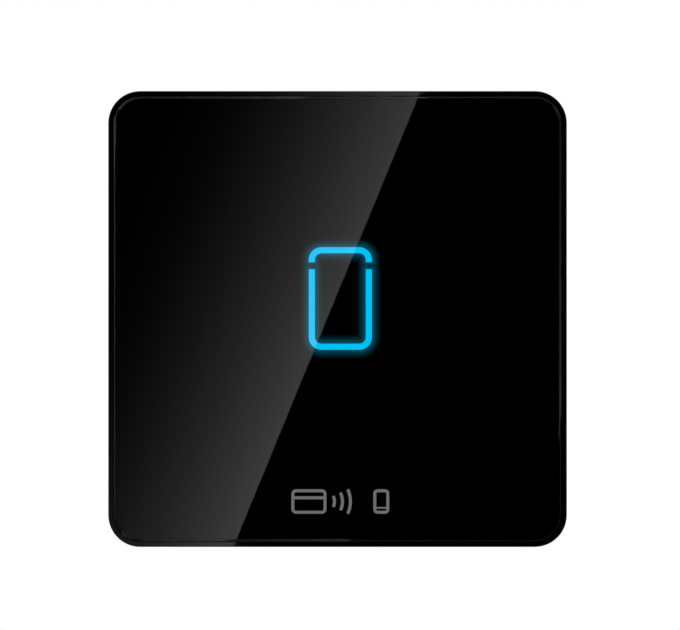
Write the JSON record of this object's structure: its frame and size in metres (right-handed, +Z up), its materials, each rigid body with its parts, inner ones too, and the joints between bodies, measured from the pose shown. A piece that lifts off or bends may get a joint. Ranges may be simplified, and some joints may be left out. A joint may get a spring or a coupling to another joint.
{
  "type": "rfid card reader",
  "caption": "Square wall-mounted card reader with a flush black glass face, a lit card icon, a housing that tilts off its wall plate, a locking screw and a tamper plunger.",
  "frame": {"origin": "middle of the wall screw pattern, on the back face of the wall plate, which lies against the wall", "axes": "+Y points into the wall along the wall screws, +X runs across the width, +Z is up; the glass faces -Y"},
  "size_m": [0.086, 0.014, 0.0856],
  "materials": {
    "housing_plastic": "fine texture",
    "plate_plastic": "fine texture",
    "bezel_plastic": "polished",
    "panel_glass": "polished",
    "black_print": "printed",
    "grey_print": "printed",
    "bonding_tape": "matt",
    "light_guide": "lit",
    "baffle_plastic": "matt",
    "led_resin": "clear",
    "board_laminate": "solder mask",
    "copper": "plated",
    "ferrite": "matt",
    "chip_resin": "matt",
    "tinned_metal": "tinned",
    "ceramic_white": "fired",
    "buzzer_plastic": "matt",
    "buzzer_brass": "satin",
    "capacitor_tantalum": "matt",
    "capacitor_ceramic": "fired",
    "resistor_body": "matt",
    "connector_plastic": "moulded",
    "pin_metal": "plated",
    "seal_rubber": "soft",
    "screw_steel": "zinc plated",
    "lock_steel": "stainless",
    "insert_brass": "turned",
    "switch_plastic": "moulded",
    "spring_steel": "drawn",
    "plunger_plastic": "moulded",
    "label_foil": "printed foil"
  },
  "bodies": {
    "wall_plate": {"wall_plate": "plate_plastic", "lock_insert": "insert_brass"},
    "reader": {"rear_housing": "housing_plastic", "front_bezel": "bezel_plastic", "glass_panel": "panel_glass", "print_film": "black_print", "printed_symbol": "grey_print", "glass_tape": "bonding_tape", "upper_light_guide": "light_guide", "lower_light_guide": "light_guide", "light_baffle": "baffle_plastic", "status_leds": "led_resin", "main_board": "board_laminate", "antenna_coil": "copper", "ferrite_sheet": "ferrite", "matching_coils": "ferrite", "power_inductor": "ferrite", "microcontroller": "chip_resin", "card_reader_chip": "chip_resin", "bus_transceiver": "chip_resin", "voltage_regulator": "chip_resin", "surge_diodes": "chip_resin", "chip_leads": "tinned_metal", "clock_crystals": "tinned_metal", "bluetooth_antenna": "ceramic_white", "buzzer_case": "buzzer_plastic", "buzzer_disc": "buzzer_brass", "filter_capacitors": "capacitor_tantalum", "ceramic_capacitors": "capacitor_ceramic", "chip_resistors": "resistor_body", "resettable_fuse": "resistor_body", "connector_shroud": "connector_plastic", "connector_pins": "pin_metal", "connector_seal": "seal_rubber", "housing_gasket": "seal_rubber", "housing_screws": "screw_steel", "board_screws": "screw_steel", "tamper_switch": "switch_plastic", "tamper_spring": "spring_steel", "rating_label": "label_foil"},
    "tamper_plunger": {"tamper_plunger": "plunger_plastic"},
    "lock_washer": {"lock_washer": "lock_steel"},
    "locking_screw": {"locking_screw": "lock_steel"}
  },
  "joints": [
    {"name": "reader_tilt", "type": "hinge", "parent": "wall_plate", "child": "reader", "pos_m": [0, -0.0024, 0.0404], "axis": [-1, 0, 0], "range_deg": [0, 25]},
    {"name": "tamper_travel", "type": "slide", "parent": "reader", "child": "tamper_plunger", "axis": [0, 1, 0], "range_m": [0, 0.0012], "stiffness_N_per_m": 120, "springref_m": 0.0025, "deforming": ["tamper_spring"]},
    {"name": "lock_travel", "type": "slide", "parent": "reader", "child": "lock_washer", "axis": [0, 0, 1], "range_m": [0, 0.00295]},
    {"name": "lock_turn", "type": "hinge", "parent": "lock_washer", "child": "locking_screw", "pos_m": [0, -0.0037, -0.039], "axis": [0, 0, 1], "range_deg": [0, 2125]}
  ],
  "couplings": [
    {"joint": "lock_turn", "follows": "lock_travel", "rad_per_m": 12566}
  ]
}
